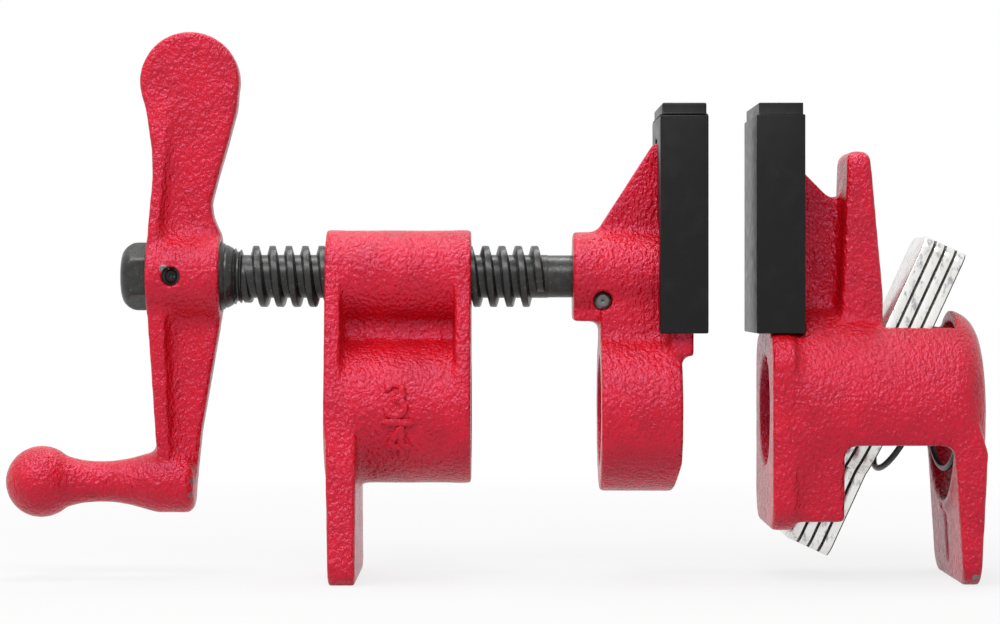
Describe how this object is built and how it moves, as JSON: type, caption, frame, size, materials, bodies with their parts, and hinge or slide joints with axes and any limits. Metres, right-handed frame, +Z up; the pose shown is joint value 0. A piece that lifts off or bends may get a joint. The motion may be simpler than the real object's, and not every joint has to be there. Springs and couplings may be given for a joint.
{
  "type": "pipe clamp",
  "caption": "Woodworking pipe clamp fixture without its pipe: screw-driven front jaw on a threaded pipe head, and a tail jaw gripped by sprung clutch plates, both with slip-on pads.",
  "frame": {"origin": "on the pipe axis at the mouth of the head casting's threaded pipe socket", "axes": "+X along the pipe axis from the screw head toward the tail jaw, +Z up from the feet toward the jaw faces, +Y away from the picture's camera"},
  "size_m": [0.2504, 0.052, 0.1408],
  "materials": {
    "red_casting": "red gloss enamel over a sand-cast surface",
    "black_oxide_steel": "black oxide, lightly oiled",
    "black_plastic": "satin moulded plastic",
    "zinc_plate": "bright zinc plate, stamped edges"
  },
  "bodies": {
    "head": {"head_casting": "red_casting"},
    "front_jaw": {"sliding_jaw": "red_casting", "jaw_retaining_pin": "black_oxide_steel", "front_jaw_pad": "black_plastic"},
    "screw": {"spindle": "black_oxide_steel", "crank_handle": "red_casting", "crank_pin": "black_oxide_steel"},
    "tail": {"tail_casting": "red_casting", "rear_jaw_pad": "black_plastic", "clutch_spring": "black_oxide_steel"},
    "clutch": {"clutch_plate_1": "zinc_plate", "clutch_plate_2": "zinc_plate", "clutch_plate_3": "zinc_plate", "clutch_plate_4": "zinc_plate"}
  },
  "joints": [
    {"name": "jaw_feed", "type": "slide", "parent": "head", "child": "front_jaw", "axis": [1, 0, 0], "range_m": [-0.025, 0.0115]},
    {"name": "crank_turn", "type": "hinge", "parent": "front_jaw", "child": "screw", "pos_m": [-0.07395, 0, 0.0345], "axis": [1, 0, 0], "range_deg": [-2120, 975]},
    {"name": "tail_slide", "type": "slide", "parent": "head", "child": "tail", "axis": [1, 0, 0], "range_m": [0, 0.3]},
    {"name": "clutch_tilt", "type": "hinge", "parent": "tail", "child": "clutch", "pos_m": [0.105, 0, 0.021], "axis": [0, -1, 0], "range_deg": [0, 24.5], "stiffness_Nm_per_rad": 0.26, "springref_deg": -24.64, "deforming": ["clutch_spring"]}
  ],
  "couplings": [
    {"joint": "jaw_feed", "follows": "crank_turn", "m_per_rad": 0.00067375}
  ]
}
